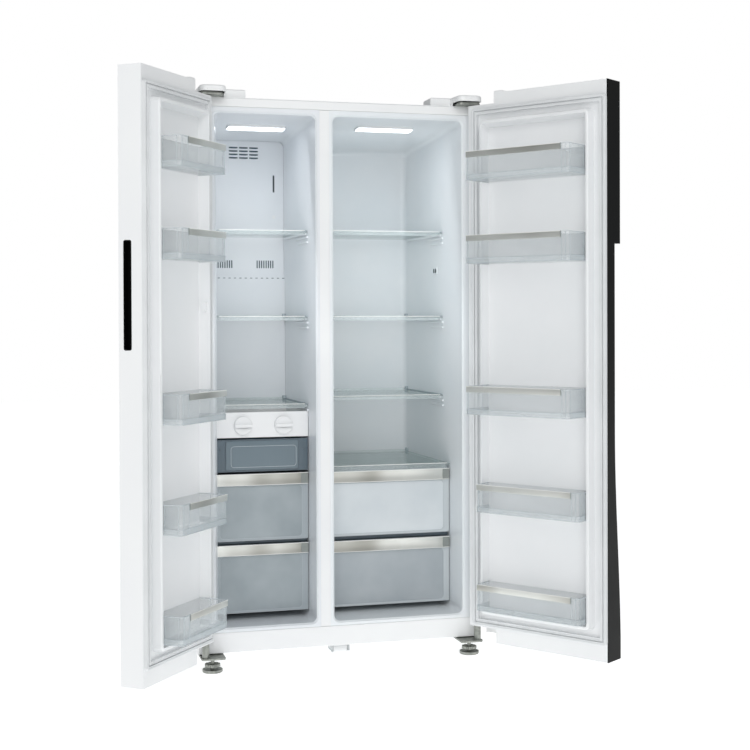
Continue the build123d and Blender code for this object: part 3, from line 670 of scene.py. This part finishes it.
def dressDrawer(room, level, paneFinish):
    parts = drawerParts
    name = f"{room}_drawer_{level}"
    body = f"{name}_body"
    low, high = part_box(name)
    tall = parts["lowFreezerTrim"] if (room, level) == ("freezer", "lower") else parts["trim"]
    wide = high.x - low.x

    def bowed(x0, x1, out, count=12):
        points = []
        for step in range(count + 1):
            x = x0 + (x1 - x0) * step / count
            points.append((x, low.y + out - parts["bow"] * math.sin(math.pi * (x - low.x) / wide)))
        return points

    # the strip's face is hollowed slightly, so it shows a darker middle under a bright top
    deep = parts["trimDepth"]
    face = [(0, 0), (deep, 0)]
    face += [(deep - parts["hollow"] * math.sin(math.pi * t / 8), tall * t / 8) for t in range(1, 8)]
    face += [(deep, tall), (0, tall)]
    first, last = low.x + parts["sideGap"], high.x - parts["sideGap"]
    stripEnd = high.x - parts["endCap"]
    trimPlace = lyingAt(high.z - tall)
    strip = sweep(bowed(first, stripEnd, 0.3 * mm), face, trimPlace, False)
    newPiece(f"{room}DrawerTrim{level}", strip, "steelTrim", body, 30)
    cap = sweep(bowed(stripEnd, last, 0.3 * mm, 4), roundedBar(3.6 * mm, tall, 1.0 * mm), trimPlace, False)
    newPiece(f"{room}DrawerTrimCap{level}", cap, "trimEnd", body)
    # pale strips along the top and bottom of the trim: painted highlights
    for edge, drop, thick in parts["highlightLines"]:
        base = high.z - drop if edge == "Top" else high.z - tall - drop
        section = roundedBar(1.8 * mm, thick, 0.6 * mm)
        lip = sweep(bowed(first, last, -2.6 * mm), section, lyingAt(base), False)
        newPiece(f"{room}DrawerTrim{edge}{level}", lip, "highlightStrip", body)

    frontY = low.y + parts["face"]
    border = parts["border"]
    base, top = low.z + 1 * mm, high.z - tall - 2 * mm
    ring = roundedRing(low.x + border, high.x - border * 1.7, base + border * 0.6, top - 2 * mm, 12 * mm)
    bead = sweep(ring, roundedBar(*parts["bead"]), uprightAt(frontY - 1.4 * mm), True)
    newPiece(f"{room}DrawerBead{level}", bead, "frostEdge", body)
    outer = roundedRing(low.x + 1.2 * mm, high.x - 1.2 * mm, base, top, 5 * mm)
    rimBar = sweep(outer, roundedBar(*parts["rimBar"]), uprightAt(frontY - 1.0 * mm), True)
    newPiece(f"{room}DrawerRim{level}", rimBar, "frostEdge", body)
    pane = dishedPanel(ring, frontY, 1.0 * mm)
    newPiece(f"{room}DrawerPanel{level}", pane, paneFinish, body)


for drawerLevel in ("upper", "lower"):
    dressDrawer("freezer", drawerLevel, "freezerPane")
    # the upper pane is painted lighter and the lower darker: painted light and shade
    dressDrawer("fridge", drawerLevel, "fridgePane" if drawerLevel == "upper" else "fridgePaneShaded")

gapShadeParts = {"side": 2 * mm, "back": 15 * mm, "depth": 6 * mm, "gap": 1.5 * mm, "edge": 1.2 * mm}


# a dark bar that fills the gap between two drawers, a little behind their fronts: painted shade in the gap
def addGapShadeBar(room):
    parts = gapShadeParts
    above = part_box(f"{room}_drawer_upper")[0].z
    low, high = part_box(f"{room}_drawer_lower")
    y = low.y + parts["back"]
    section = roundedRing(-parts["depth"], 0, parts["gap"], above - high.z - parts["gap"], parts["edge"])
    path = [(low.x + parts["side"], y), (high.x - parts["side"], y)]
    bar = sweep(path, section, lyingAt(high.z), False)
    newPiece(f"{room}GapShade", bar, "darkLine", "cabinet")


addGapShadeBar("freezer")
addGapShadeBar("fridge")
print("drawers dressed")

bucketParts = {
    "left": 31 * mm,
    "right": 32 * mm,
    "sill": 6 * mm,
    "head": 5 * mm,
    "frame": (2.0 * mm, 1.6 * mm, 0.6 * mm),
    "innerLine": (1.2 * mm, 1.0 * mm, 0.4 * mm),
    "innerInset": {"left": 16 * mm, "right": 7 * mm, "low": 9 * mm, "high": 17 * mm},
    "dots": (("Left", 11 * mm), ("Right", -15 * mm)),
    "dotRadius": 3.5 * mm,
}


def dressBucket():
    parts, inset = bucketParts, bucketParts["innerInset"]
    low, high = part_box("ice_bucket")
    y = low.y
    x0, x1 = low.x + parts["left"], high.x - parts["right"]
    z0, z1 = low.z + parts["sill"], high.z - parts["head"]
    ring = roundedRing(x0, x1, z0, z1, 4 * mm)
    window = sweep(ring, roundedBar(*parts["frame"]), uprightAt(y - 1.4 * mm), True)
    newPiece("bucketWindowFrame", window, "darkLine", "ice_bucket_body")
    pane = dishedPanel(ring, y, 0.8 * mm)
    newPiece("bucketWindowPane", pane, "bucketPane", "ice_bucket_body")
    x0, x1 = x0 + inset["left"], x1 - inset["right"]
    inner = roundedRing(x0, x1, z0 + inset["low"], z1 - inset["high"], 9 * mm)
    line = sweep(inner, roundedBar(*parts["innerLine"]), uprightAt(y - 1.7 * mm), True)
    newPiece("bucketInnerLine", line, "frostEdge", "ice_bucket_body")
    reach = parts["dotRadius"]
    for mark, shift in parts["dots"]:
        x = (low.x if shift > 0 else high.x) + shift
        dot = roundedRing(x - reach, x + reach, high.z - 34 * mm, high.z - 27 * mm, 3.4 * mm)
        pane = dishedPanel(dot, y, 0.6 * mm)
        newPiece(f"bucketDot{mark}", pane, "darkLine", "ice_bucket_body")


knobParts = {
    "height": 741 * mm,
    "proud": 9 * mm,
    "rimRadius": 27.6 * mm,
    "rim": (1.4 * mm, 2.2 * mm, 0.7 * mm),
    "grip": (1.6 * mm, 6 * mm, 0.8 * mm),
    "gripReach": 24 * mm,
    "gripDrop": 5.5 * mm,
    "gripSag": 3 * mm,
}


def dressKnobs():
    parts = knobParts
    z = parts["height"]
    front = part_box("ice_maker_frame")[0].y - parts["proud"]
    for side in ("left", "right"):
        low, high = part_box(f"{side}_ice_tray")
        x = (low.x + high.x) / 2
        body = f"{side}_ice_tray_body"
        circle = circlePoints((x, z), parts["rimRadius"], 40)
        rim = sweep(circle, roundedBar(*parts["rim"]), uprightAt(front - 1.6 * mm), True)
        newPiece(f"{side}KnobRim", rim, "abs", body)
        bow = []
        for t in range(13):
            sag = parts["gripDrop"] + parts["gripSag"] * math.sin(math.pi * t / 12)
            bow.append((x + parts["gripReach"] * (t / 6 - 1), z - sag))
        grip = sweep(bow, roundedBar(*parts["grip"]), uprightAt(front - 7 * mm), False)
        newPiece(f"{side}KnobGrip", grip, "abs", body)


dressBucket()
dressKnobs()
print("ice maker dressed")

shelfParts = {
    "lipDepth": 15 * mm,
    "frameTop": 6 * mm,  # the glass lies this far under the node's highest point
    "frontInset": 11 * mm,
    "clipBack": 14 * mm,
    "barInset": 3.0 * mm,
    "rail": 7 * mm,
    "railDrops": (22 * mm, 38 * mm),
    "railLength": 150 * mm,
    "railShorter": 30 * mm,
}


def dressShelf(name, lipHeight):
    parts = shelfParts
    low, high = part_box(name)
    atTop = lyingAt(high.z - parts["frameTop"])
    front = [(low.x + parts["frontInset"], low.y), (high.x - parts["frontInset"], low.y)]
    section = roundedRing(-parts["lipDepth"], 0.7 * mm, -lipHeight - 0.3 * mm, 1.9 * mm, 1.4 * mm)
    newPiece(f"{name}Lip", sweep(front, section, atTop, False), "shelfLip", "cabinet")
    # a thin pale strip along the top of the shelf front: a painted highlight
    section = roundedRing(-2 * mm, 1.1 * mm, 0.8 * mm, 2.6 * mm, 0.6 * mm)
    newPiece(f"{name}Edge", sweep(front, section, atTop, False), "highlightStrip", "cabinet")
    section = roundedRing(-1 * mm, 1.0 * mm, -lipHeight - 0.4 * mm, -lipHeight + 1 * mm, 0.5 * mm)
    newPiece(f"{name}Under", sweep(front, section, atTop, False), "clearRim", "cabinet")
    clipY = high.y - parts["clipBack"]
    section = roundedRing(-16 * mm, 0, -6 * mm, 5 * mm, 2 * mm)
    for side, x in (("Left", low.x + 12 * mm), ("Right", high.x - 14 * mm)):
        clip = sweep([(x - 4 * mm, clipY), (x + 6 * mm, clipY)], section, lyingAt(high.z), False)
        newPiece(f"{name}Clip{side}", clip, "shelfBar", "cabinet")


# where a compartment's side wall stands at depth y, from the glass that reaches it
def wallLine(room, side, y):
    low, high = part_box(f"{room}_shelf_1")
    corners = [v.co for v in nodes[f"{room}_shelf_1"].data.vertices]
    front = [c.x for c in corners if c.y < low.y + 20 * mm]
    back = [c.x for c in corners if c.y > high.y - 12 * mm]
    pick = max if side == "right" else min
    share = (y - low.y) / (high.y - low.y)
    return pick(front) + (pick(back) - pick(front)) * share


# the light moulded bar along each side of a shelf and the two short wall rails under its front
def addShelfSide(name, room):
    parts = shelfParts
    low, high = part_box(name)
    top = high.z - parts["frameTop"]

    def alongWall(side, sign, inset, y0, y1):
        return [(wallLine(room, side, y) + sign * inset, y) for y in (y0, y1)]

    for side, sign in (("left", 1), ("right", -1)):
        path = alongWall(side, sign, parts["barInset"], low.y + 6 * mm, high.y - 16 * mm)
        section = roundedRing(-1.4 * mm, 1.4 * mm, 0.2 * mm, 3.2 * mm, 0.9 * mm)
        bar = sweep(path, section, lyingAt(top), False)
        newPiece(f"{name}Bar{side}", bar, "shelfBar", "cabinet")
        section = roundedRing(-3.0 * mm, 3.0 * mm, 0, parts["rail"], 2.2 * mm)
        for index, drop in enumerate(parts["railDrops"]):
            reach = parts["railLength"] - index * parts["railShorter"]
            path = alongWall(side, sign, 0.2 * mm, low.y + 4 * mm, low.y + reach)
            rail = sweep(path, section, lyingAt(top - drop), False)
            newPiece(f"{name}Rail{side}{index}", rail, f"{room}Liner", "cabinet")


lipHeights = {"shelf": 11 * mm, "crisper": 15 * mm}
for shelfRoom in ("freezer", "fridge"):
    for shelfNumber in (1, 2, 3):
        dressShelf(f"{shelfRoom}_shelf_{shelfNumber}", lipHeights["shelf"])
        addShelfSide(f"{shelfRoom}_shelf_{shelfNumber}", shelfRoom)
dressShelf("crisper_cover", lipHeights["crisper"])
print("shelves dressed")

# the freezer's back cover: a square grille, two side slots, two groups of vents, a plug, marks on its ledge
grilleParts = {
    "middle": -257 * mm,
    "left": -51 * mm,
    "top": 1665 * mm,
    "columns": 3,
    "rows": 4,
    "wide": 30 * mm,
    "tall": 7.6 * mm,
    "pitchX": 35 * mm,
    "pitchZ": 11.5 * mm,
}
sideSlotParts = {
    "places": (("L", -99 * mm), ("R", 103 * mm)),
    "half": 3.4 * mm,
    "low": 1511 * mm,
    "high": 1571 * mm,
}
ventParts = {
    "starts": (("L", -356 * mm), ("R", -214 * mm)),
    "count": 8,
    "pitch": 7.8 * mm,
    "wide": 4.6 * mm,
    "low": 1251 * mm,
    "high": 1279 * mm,
}
coverLevels = {"panelFrom": 1300 * mm, "ledgeTo": 1200 * mm}  # the flat panel lies above, the ledge below
plugParts = {"place": (-154 * mm, 1427 * mm), "radius": 6 * mm, "proud": 1.2 * mm}
ledgeParts = {
    "start": -352 * mm,
    "count": 14,
    "pitch": 18.5 * mm,
    "wide": 11 * mm,
    "low": 1216 * mm,
    "high": 1219 * mm,
}


# a dark pane sunk a little into a slot or vent: painted shade in the opening
def slotPane(name, x0, x1, z0, z1, y, finish):
    ring = roundedRing(x0, x1, z0, z1, min(x1 - x0, z1 - z0) * 0.35)
    newPiece(name, dishedPanel(ring, y + 0.5 * mm, 0.3 * mm), finish, "cabinet", 60)


def dressBackCover():
    points = [v.co for v in nodes["evaporator_cover"].data.vertices]
    y = min(p.y for p in points if p.z > coverLevels["panelFrom"])
    g, s, v, m = grilleParts, sideSlotParts, ventParts, ledgeParts
    for column in range(g["columns"]):
        for row in range(g["rows"]):
            x = g["middle"] + g["left"] + column * g["pitchX"]
            z = g["top"] - row * g["pitchZ"]
            slotPane(f"grilleSlot{column}{row}", x, x + g["wide"], z - g["tall"], z, y, "slotShade")
    for mark, start in v["starts"]:
        for slot in range(v["count"]):
            x = start + slot * v["pitch"]
            slotPane(f"vent{mark}{slot}", x, x + v["wide"], v["low"], v["high"], y, "slotShade")
    for mark, shift in s["places"]:
        x = g["middle"] + shift
        slotPane(f"sideSlot{mark}", x - s["half"], x + s["half"], s["low"], s["high"], y, "shadowGap")
    plug = circlePoints(plugParts["place"], plugParts["radius"], 20)
    newPiece("coverPlug", dishedPanel(plug, y, plugParts["proud"]), "abs", "cabinet")
    ledge = min(p.y for p in points if p.z < coverLevels["ledgeTo"])
    for index in range(m["count"]):
        x = m["start"] + index * m["pitch"]
        slotPane(f"ledgeMark{index}", x, x + m["wide"], m["low"], m["high"], ledge, "slotShade")


sensorParts = {
    "start": 7 * mm,
    "pitch": 19 * mm,
    "wide": 11 * mm,
    "sill": 5 * mm,
    "head": 6 * mm,
    "corner": 2 * mm,
}


def dressSensor():
    parts = sensorParts
    low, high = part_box("sensor_cover")
    # a dark rim and pane in each slot: painted shadow in the opening
    for index in (0, 1):
        y0 = low.y + parts["start"] + index * parts["pitch"]
        z0, z1 = low.z + parts["sill"], high.z - parts["head"]
        ring = roundedRing(y0, y0 + parts["wide"], z0, z1, parts["corner"])
        section = roundedBar(0.8 * mm, 1.6 * mm, 0.3 * mm)
        rim = sweep(ring, section, lambda a, b, c: Vector((low.x - 0.4 * mm + c, a, b)), True)
        newPiece(f"sensorSlotRim{index}", rim, "shadowGap", "cabinet")
        shape = bmesh.new()
        shape.faces.new([shape.verts.new((low.x - 0.2 * mm, a, b)) for a, b in ring])
        newPiece(f"sensorSlot{index}", toMesh(shape, "sensorSlot"), "shadowGap", "cabinet")


dressBackCover()
dressSensor()
print("back cover and sensor dressed")

lampParts = {
    "split": -100 * mm,  # the two covers share one node, the freezer's lying left of this
    "side": 4 * mm,
    "end": 9 * mm,
    "lip": 14 * mm,
    "corner": 4 * mm,
    "edge": (1.0 * mm, 1.0 * mm, 0.4 * mm),
}


def addLampPanes():
    parts = lampParts
    points = [v.co for v in nodes["lamp_covers"].data.vertices]
    covers = {
        "freezer": [p for p in points if p.x < parts["split"]],
        "fridge": [p for p in points if p.x > parts["split"]],
    }
    for room, picked in covers.items():
        x0, x1 = min(p.x for p in picked) + parts["side"], max(p.x for p in picked) - parts["side"]
        y0, y1 = min(p.y for p in picked), max(p.y for p in picked)
        front = min(p.z for p in picked if p.y < y0 + parts["lip"])
        back = min(p.z for p in picked if p.y > y1 - parts["lip"])
        slope = (back - front) / (y1 - y0 - 12 * mm)
        pane = roundedRing(x0, x1, y0 + parts["end"], y1 - parts["end"], parts["corner"])

        def underCover(a, b, c):
            return Vector((a, b, front + slope * (b - y0) - 0.9 * mm + c))

        mesh = sweep(pane, roundedBar(*parts["edge"]), underCover, True)
        shape = bmesh.new()
        shape.from_mesh(mesh)
        shape.faces.new([shape.verts.new((a, b, front + slope * (b - y0) - 0.7 * mm)) for a, b in pane])
        shape.to_mesh(mesh)
        shape.free()
        newPiece(f"{room}LampPane", mesh, "lamp", "cabinet")


addLampPanes()
print("lamps dressed")

floorParts = {"half": 14.0, "glow": 0.66}  # the glow keeps the floor as pale as the studio behind it


def makeFloor():
    size = floorParts["half"]
    mesh = bpy.data.meshes.new("floor")
    corners = [(-size, -size, 0), (size, -size, 0), (size, size, 0), (-size, size, 0)]
    mesh.from_pydata(corners, [], [(0, 1, 2, 3)])
    glow = {"Emission Color": (1, 1, 1, 1), "Emission Strength": floorParts["glow"]}
    material, tree, shader, place = newMaterial("paintedFloor", {"IOR": 1.45, "Roughness": 0.85, **glow})
    addToneChange(tree, shader, place, "#fafafa", "#fcfcfc", 900)
    mesh.materials.append(material)
    floor = bpy.data.objects.new("floor", mesh)
    bpy.context.scene.collection.objects.link(floor)


# a light that shines along its direction
def aimLamp(lamp, direction):
    lamp.rotation_mode = "QUATERNION"
    lamp.rotation_quaternion = Vector(direction).to_track_quat("-Z", "Y")
    bpy.context.scene.collection.objects.link(lamp)


def addSoftbox(name, place, target, size, watts, colour):
    data = bpy.data.lights.new(name, "AREA")
    data.shape = "RECTANGLE"
    data.size, data.size_y = size
    data.energy = watts
    data.color = hexColour(colour)[:3]
    lamp = bpy.data.objects.new(name, data)
    lamp.location = place
    lamp.visible_camera = False
    aimLamp(lamp, Vector(target) - Vector(place))


def addSun(name, direction, strength, softness):
    data = bpy.data.lights.new(name, "SUN")
    data.energy = strength
    data.angle = softness
    aimLamp(bpy.data.objects.new(name, data), direction)


worldLight = {"colour": "#f7fafc", "fill": 0.36, "seen": 1.0}


# the camera sees plain white, and the object is lit by a softer fill
def makeWorld():
    world = bpy.data.worlds.new("studio")
    world.use_nodes = True
    tree = world.node_tree
    tree.nodes.clear()
    seen = addNode(tree, "ShaderNodeBackground", {"Color": (1, 1, 1, 1), "Strength": worldLight["seen"]})
    settings = {"Color": hexColour(worldLight["colour"]), "Strength": worldLight["fill"]}
    fill = addNode(tree, "ShaderNodeBackground", settings)
    path = addNode(tree, "ShaderNodeLightPath")
    links = {0: path.outputs["Is Camera Ray"], 1: fill.outputs[0], 2: seen.outputs[0]}
    mix = addNode(tree, "ShaderNodeMixShader", links=links)
    addNode(tree, "ShaderNodeOutputWorld", links={"Surface": mix.outputs[0]})
    bpy.context.scene.world = world


studioLights = {
    "boxPlace": (-0.6, -3.6, 3.6),
    "boxTarget": (0, 0, 1.2),
    "boxSize": (3.0, 2.0),
    "boxWatts": 40,
    "sunDirection": (0.2, 1.0, -0.3),
    "sunStrength": 0.45,
    "sunSoftness": 0.7,  # radians across the sun
    "roomSize": (0.26, 0.7),
    "rooms": (("freezer", -0.267, 0.36), ("fridge", 0.162, 0.52)),  # middle across, watts
}


def addRoomFill(room, middle, watts):
    target = (middle + 0.05, 0.5, 1.15)
    addSoftbox(f"{room}Fill", (middle, -0.08, 1.3), target, studioLights["roomSize"], watts, "#fafcff")


makeFloor()
makeWorld()
boxPlace, boxTarget = studioLights["boxPlace"], studioLights["boxTarget"]
addSoftbox("highFront", boxPlace, boxTarget, studioLights["boxSize"], studioLights["boxWatts"], "#ffffff")
addSun("frontFill", studioLights["sunDirection"], studioLights["sunStrength"], studioLights["sunSoftness"])
for room in studioLights["rooms"]:
    addRoomFill(*room)
print("floor and light ready")
